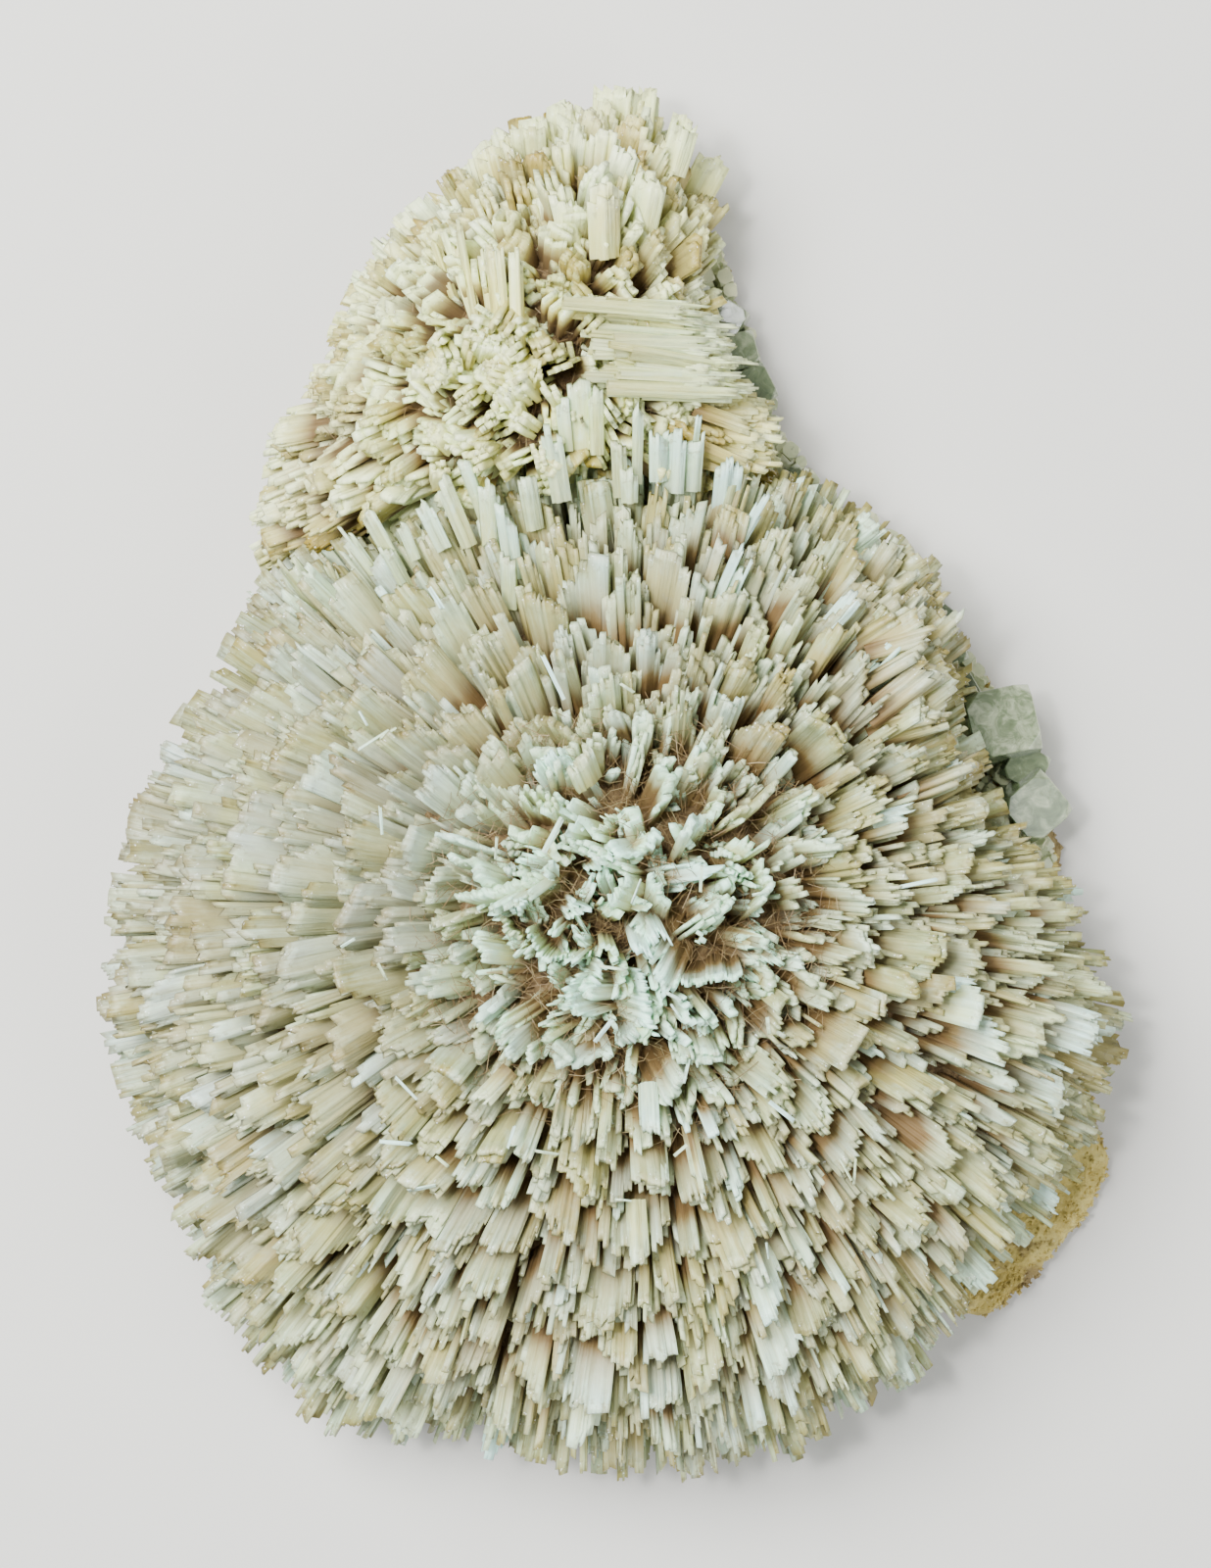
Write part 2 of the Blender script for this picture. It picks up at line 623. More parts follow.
class Blades:
    """Every blade of a set of plates, as columns of corners."""

    def __init__(self, plates, feet, axes, lengths, past=None):
        dice, dome = plates.dice, plates.dome
        count = len(plates.wide)
        rows = []
        for one in range(count):
            rows.extend(blade_columns(plates, one, dice))
        rows = np.array(rows)
        self.owner = owner = rows[:, 0].astype(int)
        u, middle, thick, extra, tint = rows[:, 1:6].T
        self.first, self.last = rows[:, 6] > 0.5, rows[:, 7] > 0.5
        feet, axis = feet[owner], axes[owner]
        thick_way = plates.thick[owner]
        offset = plates.wide[owner] * u[:, None] + thick_way * middle[:, None]
        far = np.linalg.norm(feet, axis=1) + lengths[owner]
        axis = units(axis + offset * (plates.splay / far)[:, None])
        length = np.maximum(lengths[owner] + extra, SHORTEST)
        if past is not None:
            bare = feet + offset + axis * length[:, None]
            allowed = dome.tips(units(bare), past[owner])
            allowed = allowed * (0.985 + 0.02 * dice.random(count))[owner]
            length = length - np.maximum(np.linalg.norm(bare, axis=1) - allowed, 0.0)
            length = np.maximum(length, SHORTEST)
        self.length = length
        low, high = np.full(count, np.inf), np.full(count, -np.inf)
        np.minimum.at(low, owner, u)
        np.maximum.at(high, owner, u)
        self.share = (u - low[owner]) / (high - low)[owner]
        shoulder = np.minimum((0.8 + 1.6 * dice.random(count))[owner] * MM, length * 0.5)
        taper = plates.taper[owner] * (0.85 + 0.3 * dice.random(len(owner)))
        corners = np.empty((len(owner), LEVELS, 2, 3))
        for side, sign in ((0, -1.0), (1, 1.0)):
            half = thick * sign
            corners[:, 0, side] = feet + (offset + thick_way * half[:, None]) * plates.squeeze
            corners[:, 1, side] = (feet + offset + thick_way * half[:, None]
                                   + axis * (length - shoulder)[:, None])
            corners[:, 2, side] = (feet + offset + thick_way * (half * taper)[:, None]
                                   + axis * length[:, None])
        self.corners = corners + dome.centre
        self.corners[..., 2] = np.maximum(self.corners[..., 2], LOWEST)
        tips = feet + offset + axis * length[:, None]
        gap = np.maximum(dome.tips(units(tips)) - np.linalg.norm(tips, axis=1), 0.0)
        below = np.stack((length, shoulder, np.zeros(len(owner))), axis=1)
        lot = dice.random(count) * GRAIN_LOTS
        self.tone = {
            "below": below / MM, "depth": (below + gap[:, None]) / MM,
            "grain_across": self.spread(u / MM + lot[owner]),
            "grain_along": (below + self.spread(lot[owner] * MM)) / MM,
            "light": self.spread(plates.light[owner] + tint)}
        for title in ("stain", "hue", "glass", "facing_up"):
            self.tone[title] = self.spread(getattr(plates, title)[owner])
        self.way_up = units(feet)[:, 2]

    @staticmethod
    def spread(numbers):
        """The same number at every level of a column."""
        return np.repeat(numbers[:, None], LEVELS, axis=1)


print("corners of one needle:", 2 * 2 * LEVELS)

# %% [markdown]
# All the blades of a piece go into one mesh, which is much lighter than thousands of objects.
# Whole arrays of corners and faces are handed over at once, since a loop over them would take
# minutes. Each plate also gets a small square of a flat map, for tools that paint a surface onto
# an image.

# %% Join blades into one mesh
ON_MAP = (0.04, 0.50, 0.84)
END_ON_MAP = (0.88, 0.88, 0.97, 0.97)


def store(mesh, title, domain, numbers):
    """Keeps numbers on a mesh for its material to read."""
    mesh.attributes.new(title, "FLOAT", domain).data.foreach_set(
        "value", np.asarray(numbers, dtype=np.float32).ravel())


def lay_out(mesh, patch, places):
    """Writes a map: each patch is a square of a grid, and places run from 0 to 1 within it."""
    squares = math.ceil(math.sqrt(patch.max() + 1))
    corner = np.stack((patch % squares, patch // squares), axis=1)[:, None]
    mesh.uv_layers.new(name="OFBake").data.foreach_set(
        "uv", ((corner + places) / squares).astype(np.float32).ravel())


def blade_mesh(name, blades, chosen, finish):
    """One object of all the chosen columns, which hold whole plates."""
    count = int(chosen.sum())
    first, last = blades.first[chosen], blades.last[chosen]
    corner = np.arange(count * LEVELS * 2).reshape(count, LEVELS, 2)
    patch = np.unique(blades.owner[chosen], return_inverse=True)[1]
    share = 0.1 + 0.8 * blades.share[chosen]
    here = np.flatnonzero(~last)
    beside = here + 1
    left, right = share[here], share[beside]
    quads, patches, places = [], [], []

    def add(columns, corners, across, up):
        """Faces of four corners each, with their places on their plate's patch."""
        quads.append(np.stack(corners, axis=1))
        patches.append(patch[columns])
        places.append(np.stack([np.stack([np.broadcast_to(part, len(columns)) for part in parts],
                                         axis=1) for parts in (across, up)], axis=2))

    for low in range(LEVELS - 1):
        high = low + 1
        up = (ON_MAP[low], ON_MAP[low], ON_MAP[high], ON_MAP[high])
        add(here, (corner[beside, low, 1], corner[here, low, 1],
                   corner[here, high, 1], corner[beside, high, 1]), (right, left, left, right), up)
        add(here, (corner[here, low, 0], corner[beside, low, 0],
                   corner[beside, high, 0], corner[here, high, 0]), (left, right, right, left), up)
        for edge, front, strip in ((first, 1, (0.03, 0.09)), (last, 0, (0.91, 0.97))):
            at = np.flatnonzero(edge)
            back = 1 - front
            add(at, (corner[at, low, front], corner[at, low, back],
                     corner[at, high, back], corner[at, high, front]), (*strip, *strip[::-1]), up)
    sides = sum(len(part) for part in quads)
    add(here, (corner[here, -1, 0], corner[beside, -1, 0],
               corner[beside, -1, 1], corner[here, -1, 1]), (left, right, right, left), END_ON_MAP)
    quads = np.concatenate(quads).astype(np.int32)
    mesh = bpy.data.meshes.new(name)
    mesh.vertices.add(corner.size)
    mesh.vertices.foreach_set("co", blades.corners[chosen].astype(np.float32).ravel())
    mesh.loops.add(quads.size)
    mesh.loops.foreach_set("vertex_index", quads.ravel())
    mesh.polygons.add(len(quads))
    mesh.polygons.foreach_set("loop_start", np.arange(0, quads.size, 4, dtype=np.int32))
    for title, numbers in blades.tone.items():
        store(mesh, title, "POINT", np.repeat(numbers[chosen][:, :, None], 2, axis=2))
    store(mesh, "end", "FACE", np.arange(len(quads)) >= sides)
    lay_out(mesh, np.concatenate(patches), np.concatenate(places))
    mesh.update(calc_edges=True)
    mesh.validate()
    mesh.materials.append(finish)
    print(f"{name}: {count // 2} needles, {2 * len(quads)} triangles")
    return stand(name, mesh)


print("a blade's levels on the map:", ON_MAP)

# %% [markdown]
# ## The finish of the needles
#
# Seen close, a needle is silky and cream, with a faint green cast. It goes tan, then brown
# towards its root, where iron has settled in the clefts. All of that hangs on the depth below the
# dome, so the colour follows every needle whatever its length. Over it lie white silky streaks
# along the grain, a yellow-green blush in patches, paler last millimetres with small dark pits,
# and a few glints. The hazy plates of the left side are duller, with greyer, glassy ends.

# %% Mix the colour of scolecite
def scolecite(name, tones, roughness=0.36):
    """The blades' material, from a set of tones."""
    finish = Finish(name, Roughness=roughness, Specular_IOR_Level=0.5)
    below, deep, reach = finish.stored("below"), finish.stored("depth"), finish.stored("stain")
    light, hue = finish.stored("light"), finish.stored("hue")
    glass, end, crown = finish.stored("glass"), finish.stored("end"), finish.stored("facing_up")
    across, along = finish.stored("grain_across"), finish.stored("grain_along")
    grain, silk = (
        finish.noise(1.0, 3.0, 0.6, place=finish.add("ShaderNodeCombineXYZ", {}, place))
        for place in ([across * 3.0, along * 0.16, 0.0], [across * 0.6, along * 0.30, 7.0]))
    patch = finish.noise(110.0, 3.0)
    fine = finish.noise(1100.0, 2.0)
    depth = (deep * 0.6 + below * 0.4) / reach
    depth = (depth + (patch - 0.5) * 0.3 + (silk - 0.5) * 0.35).clamp()
    kind = finish.ramp(hue + (silk - 0.5) * 0.6 + (patch - 0.5) * 0.25, tones["kinds"])
    body = finish.ramp(depth, [
        (0.0, tones["tip"]), (0.22, tones["body"]), (0.48, tones["tan"]),
        (0.76, tones["brown"]), (1.0, tones["deep"])])
    shallow = 1.0 - depth
    blush = finish.noise(75.0, 2.0, 0.5).step(0.58, 0.72)
    streak = silk.step(0.50, 0.74) * shallow * (0.55 - 0.35 * glass)
    fade = (1.0 - below.step(0.8, 4.6)) * (1.0 - glass * 0.7) * (0.22 - 0.14 * crown)
    edge = (1.0 - below.step(0.1, 1.0)) * glass * (1.0 - crown)
    rim = (1.0 - below.step(0.2, 1.6)) * (1.0 - glass) * (0.40 + 0.35 * crown)
    pits = fine.step(0.56, 0.64) * (1.0 - below.step(1.0, 3.0))
    glints = finish.noise(2400.0, 1.0).step(0.70, 0.74) * (1.0 - below.step(0.6, 2.2))
    for share, tone in (
            ((1.0 - depth * 1.15).clamp() * 0.8, kind), (glass * shallow * 0.7, tones["haze"]),
            (blush * shallow * 0.55, tones["blush"]), (streak, tones["bright"]),
            (fade, tones["bright"]), (edge * 0.6, tones["glass"]),
            (end * glass * (1.0 - crown) * 0.5, tones["glass"]),
            (rim, finish.mix(crown, tones["shade_rim"], tones["rim"])),
            (pits * 0.45, tones["pit"])):
        body = finish.mix(share, body, tone)
    mottle = (grain - 0.5) * 1.1 + (patch - 0.5) * 0.6 + (silk - 0.5) * 1.0
    shade = light + mottle * (1.0 - 0.35 * glass) - 0.06
    body = finish.mix((0.0 - shade).clamp() * (1.0 - depth * 0.7), body, tones["dim"], "MULTIPLY")
    body = finish.mix((shade * 0.9).clamp() * shallow, body, tones["bright"])
    body = finish.mix(glints * 0.85, body, srgb(250, 255, 255))
    rough = roughness + (grain - 0.5) * 0.3 + depth * 0.3
    height = grain * 0.7 + silk * 0.2 + fine * 0.2
    return finish.wear(Base_Color=body, Roughness=rough, Normal=finish.bump(height, 0.7, 0.0003))


main_tones = {
    "tip": srgb(206, 238, 204), "body": srgb(208, 217, 161), "tan": srgb(188, 180, 121),
    "brown": srgb(146, 127, 80), "deep": srgb(117, 93, 55), "pit": srgb(144, 142, 104),
    "glass": srgb(156, 158, 130), "haze": srgb(195, 192, 185), "blush": srgb(206, 218, 124),
    "rim": srgb(198, 252, 222), "shade_rim": srgb(220, 232, 196), "dim": srgb(188, 160, 104),
    "bright": srgb(212, 252, 242),
    "kinds": [(0.0, srgb(192, 237, 250)), (0.24, srgb(197, 240, 221)), (0.48, srgb(205, 228, 173)),
              (0.72, srgb(210, 212, 138)), (0.87, srgb(192, 190, 142)), (1.0, srgb(178, 174, 150))]}
cream = scolecite("scolecite_cream", main_tones)
yellow = scolecite("scolecite_yellow", {
    **main_tones, "tip": srgb(228, 240, 164), "body": srgb(214, 206, 124),
    "tan": srgb(186, 169, 102), "brown": srgb(148, 124, 74), "deep": srgb(118, 95, 60),
    "blush": srgb(232, 214, 122), "rim": srgb(236, 252, 190), "shade_rim": srgb(240, 244, 184),
    "dim": srgb(176, 150, 84), "bright": srgb(240, 250, 208),
    "kinds": [(0.0, srgb(214, 244, 214)), (0.3, srgb(224, 236, 160)), (0.55, srgb(220, 214, 112)),
              (0.8, srgb(208, 200, 100)), (1.0, srgb(184, 178, 112))]})
print("nodes in the cream finish:", len(cream.node_tree.nodes))

# %% [markdown]
# ## The main spray
#
# Its plates differ by place, which their look has already settled. Here they turn into four
# meshes, so that each stays light: the crown, the flank, the rim and the skirt that hangs over
# the ledge. At the meeting with the upper spray some plates reach past the plane by a few
# millimetres, so the seam isn't a straight cut.

# %% Grow the main spray
def hand_in(piece, node):
    """Fixes a piece to the body, in place of a solid, and names its finish."""
    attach(piece, "root")
    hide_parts(node)


main_blades = Blades(main_plates, *radiate(main_plates, (4.0 * MM, 10.0 * MM)))
BANDS = {"crown": (0.74, 1.1), "flank": (0.44, 0.74), "rim": (0.16, 0.44), "skirt": (-1.0, 0.16)}
for band, (low, high) in BANDS.items():
    chosen = (main_blades.way_up >= low) & (main_blades.way_up < high)
    piece = blade_mesh(f"main_{band}_blades", main_blades, chosen, cream)
    hand_in(piece, "main_spray")

# %% [markdown]
# ## The roots
#
# Between the plates the eye ends on the matted, brown feet of the needles. A closed dome just
# above the needles' roots stands for them. It is a cube sphere pushed out to the right
# distance, roughened with noise.

# %% Make the matted feet of each spray
WAVES = 6


def wobble(ways, size, seed):
    """A smooth irregular number for each direction, from a few crossed waves."""
    dice = np.random.default_rng(seed)
    total = np.zeros(len(ways))
    for _ in range(WAVES):
        wave = units(dice.normal(size=3)) / size * (0.7 + 0.6 * dice.random())
        total += np.sin(ways @ wave * math.tau + dice.random() * math.tau)
    return total / WAVES


def feet(name, dome, finish, above_mm, divisions, seed):
    """A rough closed dome at the depth where the needles start."""
    mesh = bmesh.new()
    bmesh.ops.create_cube(mesh, size=2.0)
    bmesh.ops.subdivide_edges(mesh, edges=mesh.edges[:], cuts=divisions - 1, use_grid_fill=True)
    places = np.array([tuple(corner.co) for corner in mesh.verts])
    ways = units(np.tan(places * math.pi / 4.0))
    low = dome.roots(ways) + above_mm * MM
    low = low + wobble(ways, 0.05, seed) * 0.8 * MM + wobble(ways, 0.017, seed + 1) * 0.5 * MM
    flat = ways * low[:, None]
    flat[:, 2] = np.maximum(flat[:, 2], 0.0)
    for corner, place in zip(mesh.verts, flat + dome.centre):
        corner.co = place
    data = bpy.data.meshes.new(name)
    mesh.to_mesh(data)
    mesh.free()
    data.materials.append(finish)
    return stand(name, data)


mat = Finish("matted_feet", Roughness=0.85)
hair = mat.noise(600.0, 4.0, 0.7, 1.5)
mat_tone = mat.ramp(hair, [
    (0.25, srgb(62, 48, 30)), (0.5, srgb(108, 86, 54)), (0.8, srgb(164, 140, 98))])
matted = mat.wear(Base_Color=mat_tone, Normal=mat.bump(hair, 0.8, 0.0006))
main_feet = feet("main_feet", main, matted, above_mm=2.5, divisions=56, seed=5)
hand_in(main_feet, "main_spray")
print("feet of the main spray:", len(main_feet.data.polygons), "faces")

# %% [markdown]
# ## The upper spray
#
# The smaller spray is a yellower cream. Its plates are stubbier, almost as thick as they are
# wide, and their ends are rounder.

# %% Grow the upper spray
CREST_SIDE, ASHY_SIDE = 75.0, 208.0


def upper_look(width, room, short):
    """A tier of the upper spray's stubby plates."""
    def look(ways, far, dice):
        even, bell = draws(dice, len(ways))
        crown = smooth(ways[:, 2], 0.45, 0.85)
        crest = facing(ways, CREST_SIDE, 45.0) * (1.0 - crown)
        ashy = facing(ways, ASHY_SIDE, 40.0) * (1.0 - crown)
        return {
            "across": between(width, even()) * (1.0 + 0.2 * crest) * MM,
            "half": (0.6 + 0.8 * even()) * (1.0 + 0.3 * crown) * MM,
            "room_wide": np.full(len(ways), room[0] * MM),
            "room_thick": room[1] * (1.0 - 0.6 * crown) * MM,
            "turn": bell() * (0.4 + 0.6 * crown),
            "tilt": 0.08 + 0.05 * crown,
            "short": between(short, even()) * MM,
            "pitch": np.clip(0.58 * np.exp(0.35 * bell()), 0.36, 1.4)
                     * (1.0 + 0.3 * crest + 0.9 * crown) * MM,
            "stair": (0.7 + 0.3 * ashy) * (0.4 + even()) * MM,
            "slant": bell() * 0.45,
            "wedge": (0.5 + np.abs(bell())) * 1.1 * MM,
            "round": (0.3 + even()) * (0.55 - 0.35 * ashy) * MM,
            "sag": bell() * 0.15 * MM,
            "wave": even() * 0.10 * MM,
            "torn": np.full(len(ways), 0.065 * MM),
            "taper": 0.62 + 0.15 * crown,
            "stain": 5.1 + 0.9 * bell() + 3.0 * crest - 0.7 * ashy,
            "light": 0.62 * bell() - 0.05,
            "hue": np.clip(0.46 + 0.25 * bell() - 0.20 * crest + 0.04 * ashy, 0.0, 1.0),
            "glass": np.clip(0.1 * bell() + 0.25 * ashy, 0.0, 1.0),
            "facing_up": smooth(ways[:, 2], 0.6, 0.9),
        }
    return look


upper_plates = Plates(upper, [
    (7000, upper_look((0.8, 2.0), (0.5, 1.5), (0.0, 1.8))),
    (10000, upper_look((0.6, 1.5), (0.15, 0.7), (1.2, 4.0))),
    (12000, upper_look((0.4, 1.0), (0.05, 0.30), (2.8, 6.5)))], 22)
upper_blades = Blades(upper_plates, *radiate(upper_plates, (0.0 * MM, 4.0 * MM)))
everything = np.ones(len(upper_blades.length), bool)
for piece in (blade_mesh("upper_blades", upper_blades, everything, yellow),
              feet("upper_feet", upper, matted, above_mm=2.4, divisions=36, seed=9)):
    hand_in(piece, "upper_spray")
print("plates in the upper spray:", len(upper_plates.ways))

# %% [markdown]
# ## Crystals placed by eye
#
# Some crystals catch the eye in the photograph: pale tall ones over the meeting, a sheaf of
# long thin needles that lies across the upper spray, a square block on its crest, yellow columns
# at the right rim and needles that have come loose. Each is one plate, placed by the pixel that
# its tip covers. The skin of tips under that pixel gives its height, so it sits on the specimen
# from every side. Height and place hang on each other, so a few rounds settle both.

# %% Place single plates by pixel
WARM_FROM = 0.71
ROUNDS = 4


class HandSet:
    """Plates that are placed one by one. Each row holds the numbers that COLUMNS names."""

    COLUMNS = ("right", "down", "proud", "heading", "rise", "roll", "length", "width", "depth",
               "pitch", "stair", "hue", "light")

    def __init__(self, dome, rows, seed):
        self.dome, self.dice = dome, np.random.default_rng(seed)
        self.splay, self.squeeze = 0.0, 0.95
        given = dict(zip(self.COLUMNS, np.array(rows, dtype=float).T))
        count = len(rows)
        heading, rise, roll = (np.radians(given[title]) for title in ("heading", "rise", "roll"))
        self.axes = np.stack(
            (np.cos(heading) * np.cos(rise), np.sin(heading) * np.cos(rise), np.sin(rise)), axis=1)
        level = units(np.cross((0.0, 0.0, 1.0), self.axes))
        steep = np.cross(self.axes, level)
        self.wide = level * np.cos(roll)[:, None] + steep * np.sin(roll)[:, None]
        self.thick = np.cross(self.axes, self.wide)
        height = np.full(count, RIM_LEVEL)
        for _ in range(ROUNDS):
            x, y = spot(given["right"], given["down"], height)
            height = skin(x, y) + given["proud"] * MM
        self.lengths = given["length"] * MM
        tips = np.stack((x, y, height), axis=1)
        self.feet = tips - self.axes * self.lengths[:, None] - dome.centre
        self.across, self.half = given["width"] * MM / 2.0, given["depth"] * MM / 2.0
        self.pitch, self.stair = given["pitch"] * MM, given["stair"] * MM
        bell = draws(self.dice, count)[1]
        self.slant = bell() * 0.15
        self.wedge = np.abs(bell() * 0.4) * given["stair"] * MM
        self.sag, self.torn = bell() * 0.1 * MM, 0.05 * given["depth"] * MM
        self.round, self.wave = np.zeros(count), np.zeros(count)
        self.taper = np.full(count, 0.85)
        pale_reach = np.maximum(11.0, 2.4 * given["length"])
        self.stain = np.where(given["hue"] > WARM_FROM, 8.0, pale_reach)
        self.hue, self.light = given["hue"], given["light"]
        self.glass, self.facing_up = np.full(count, 0.15), np.zeros(count)


def place(name, dome, rows, seed, finish, node, slot):
    """Plates placed by eye, as one piece that stands for a node."""
    plates = HandSet(dome, rows, seed)
    blades = Blades(plates, plates.feet, plates.axes, plates.lengths)
    piece = blade_mesh(name, blades, np.ones(len(blades.length), bool), finish)
    hand_in(piece, node)


print("numbers in a row:", len(HandSet.COLUMNS))

# %% [markdown]
# The first ones stand along the meeting and on the flanks. The most striking are listed with all
# their numbers. The others have a start and a heading, and small random offsets do the rest.

# %% Set the crystals at the meeting
deal = np.random.default_rng(31)
seam_crystals = [
    (590, 379, 0.8, 93, 26, 5, 10.0, 3.6, 1.4, 0.8, 1.1, 0.56, 0.0),
    (606, 392, 0.7, 92, 26, -8, 9.0, 2.2, 1.4, 0.8, 0.8, 0.60, -0.08),
    (575, 396, 0.5, 95, 26, 0, 8.0, 1.6, 1.2, 0.7, 0.7, 0.50, -0.05),
    (650, 425, 1.0, 89, 32, 0, 9.0, 1.8, 1.1, 0.8, 0.7, 0.40, -0.15),
    (672, 432, 1.0, 90, 34, 8, 8.0, 2.6, 1.0, 0.5, 1.2, 0.22, 0.14),
    (690, 440, 1.0, 88, 34, -8, 8.5, 2.6, 1.0, 0.5, 1.2, 0.22, 0.10),
    (713, 423, 1.2, 84, 36, 0, 8.0, 1.1, 0.8, 0.5, 0.3, 0.15, 0.10),
    (708, 450, 0.6, 87, 36, 0, 7.0, 2.0, 1.0, 0.7, 0.8, 0.30, -0.15),
    (630, 448, 0.6, 93, 34, 0, 8.0, 2.0, 1.0, 0.7, 0.8, 0.50, -0.25),
    (746, 472, 1.0, 84, 40, 10, 8.0, 2.8, 1.3, 0.5, 1.2, 0.12, 0.16),
    (778, 516, 0.8, 60, 35, 0, 6.5, 2.2, 1.1, 0.5, 1.0, 0.10, 0.18),
    (640, 462, 0.8, 92, 36, 0, 7.0, 2.0, 1.1, 0.7, 0.9, 0.50, -0.25),
    (762, 560, 0.8, 66, 36, 6, 9.0, 3.0, 1.1, 0.45, 1.3, 0.12, 0.14),
    (905, 530, 0.8, 38, 24, 8, 11.0, 5.2, 1.2, 0.5, 0.6, 0.34, -0.05),
    (876, 604, 0.6, 50, 30, 0, 6.5, 2.2, 1.1, 0.45, 1.1, 0.08, 0.20),
    (944, 826, 0.6, 14, 28, 0, 7.0, 2.4, 1.1, 0.45, 1.1, 0.08, 0.20),
    (1026, 1012, 0.5, -8, 18, 0, 7.0, 2.2, 1.0, 0.45, 1.0, 0.08, 0.20),
    (664, 1166, 0.4, -88, 34, 10, 8.0, 2.2, 1.3, 0.4, 1.6, 0.22, 0.05),
    (652, 1306, 0.6, -87, 26, 12, 10.0, 2.2, 1.0, 0.45, 1.3, 0.66, -0.15),
    (590, 772, 0.8, 112, 55, 20, 6.0, 3.8, 1.1, 0.5, 0.9, 0.74, 0.0),
    (476, 1140, 0.8, 226, 38, 0, 9.0, 2.8, 1.1, 0.5, 0.9, 0.74, -0.05),
    (716, 1216, 0.8, -78, 34, 0, 9.0, 2.0, 1.1, 0.5, 0.8, 0.72, 0.0)]
SEAM_STARTS = (
    (282, 598, 150), (296, 572, 142), (316, 592, 138), (322, 556, 132), (342, 572, 130),
    (352, 542, 126), (372, 520, 120), (384, 548, 122), (402, 512, 116), (424, 500, 114),
    (446, 492, 112), (474, 478, 106), (500, 492, 102), (514, 520, 100), (520, 552, 98),
    (536, 474, 98), (560, 450, 95))
seam_crystals += [
    (right + 3 * deal.normal(), down + 3 * deal.normal(), 0.5 + 0.4 * deal.random(),
     heading + 8 * deal.normal(), 26 + 8 * deal.random(), 14 * deal.normal(),
     8 + 3 * deal.random(), 1.2 + 1.8 * deal.random(), 0.8 + 0.4 * deal.random(),
     0.42 + 0.2 * deal.random(), 1.2, 0.25 + 0.4 * deal.random(), 0.15 * deal.normal() - 0.15)
    for right, down, heading in SEAM_STARTS]
place("main_accents", main, seam_crystals, 41, cream, "main_spray", "scolecite_cream")

# %% [markdown]
# At the right rim, above the apophyllite, stand short yellow columns, close together and darker
# than the rest. A start and a heading is listed for each, and small random offsets do the rest.

# %% Place the yellow columns
COLUMN_STARTS = (
    (918, 556, 46), (938, 566, 44), (952, 580, 42), (962, 600, 40), (968, 622, 38),
    (972, 645, 34), (978, 668, 30), (984, 690, 28), (988, 712, 26), (925, 590, 44),
    (940, 606, 42), (948, 630, 38), (955, 655, 34), (962, 680, 30), (968, 702, 28),
    (972, 726, 24), (912, 612, 42), (925, 634, 38), (935, 660, 34), (940, 686, 30),
    (945, 710, 26), (955, 738, 22), (902, 580, 46), (985, 740, 22), (1000, 772, 18),
    (1012, 800, 14), (1030, 826, 10), (1048, 850, 6), (990, 790, 16), (1008, 824, 10))
columns = [
    (right + 5 * deal.normal(), down + 4 * deal.normal(), 1.2 * deal.normal() + 1.0,
     heading + 7 * deal.normal(), 14 + 8 * deal.random(), 20 * deal.normal(),
     8 + 2 * deal.random(), 2.2 + 2.2 * deal.random(), 1.2 + 0.9 * deal.random(),
     0.5 + 0.4 * deal.random(), 0.7, 0.74 + 0.22 * deal.random(), -0.70 + 0.18 * deal.normal())
    for right, down, heading in COLUMN_STARTS]
place("main_columns", main, columns, 42, cream, "main_spray", "scolecite_cream")

# %% [markdown]
# A few needles have broken off and lie on the spray, hardly tilted, where they catch the light.
# The seven that show most are placed one by one. The others are splinters and may lie anywhere.

# %% Drop the loose needles
needles = [
    (960, 897, 1.2, 12, 5, 0, 5.0, 0.5, 0.4, 0.25, 0.1, 0.0, 0.9),
    (575, 832, 1.5, 62, 8, 0, 5.0, 0.6, 0.4, 0.3, 0.1, 0.2, 0.6),
    (628, 1036, 1.3, 52, 10, 0, 4.0, 0.5, 0.4, 0.25, 0.1, 0.0, 0.9),
    (458, 632, 1.5, -58, 12, 0, 4.6, 0.6, 0.5, 0.3, 0.1, 0.0, 0.95),
    (552, 664, 1.6, 116, 14, 0, 6.5, 0.7, 0.5, 0.35, 0.1, 0.0, 0.8),
    (430, 1168, 1.0, -4, 6, 0, 5.0, 0.5, 0.4, 0.25, 0.1, 0.1, 0.6),
    (812, 1146, 1.2, -38, 6, 0, 4.0, 0.5, 0.4, 0.25, 0.1, 0.0, 0.9)]
needles += [
    (340 + 620 * deal.random(), 660 + 620 * deal.random(), 0.5 * deal.random(), 360 * deal.random(),
     30 * deal.random(), 0, 2.0 + 2.5 * deal.random(), 0.34, 0.26, 0.17, 0.1, 0.5 * deal.random(),
     0.4 * deal.random() - 0.2) for _ in range(26)]
place("loose_needles", main, needles, 43, cream, "main_spray", "scolecite_cream")

# %% [markdown]
# The upper spray has four kinds of its own. The sheaf is a stack of sheets of hair-fine needles,
# some narrow and some wide, that all point to the right, with thicker plates below it. The crest
# is a few thick blocks, the slivers are a row of long splinters on the left slope, and the knobs
# are short bundles that face the camera. Each kind follows a line or an area, with small random
# offsets.

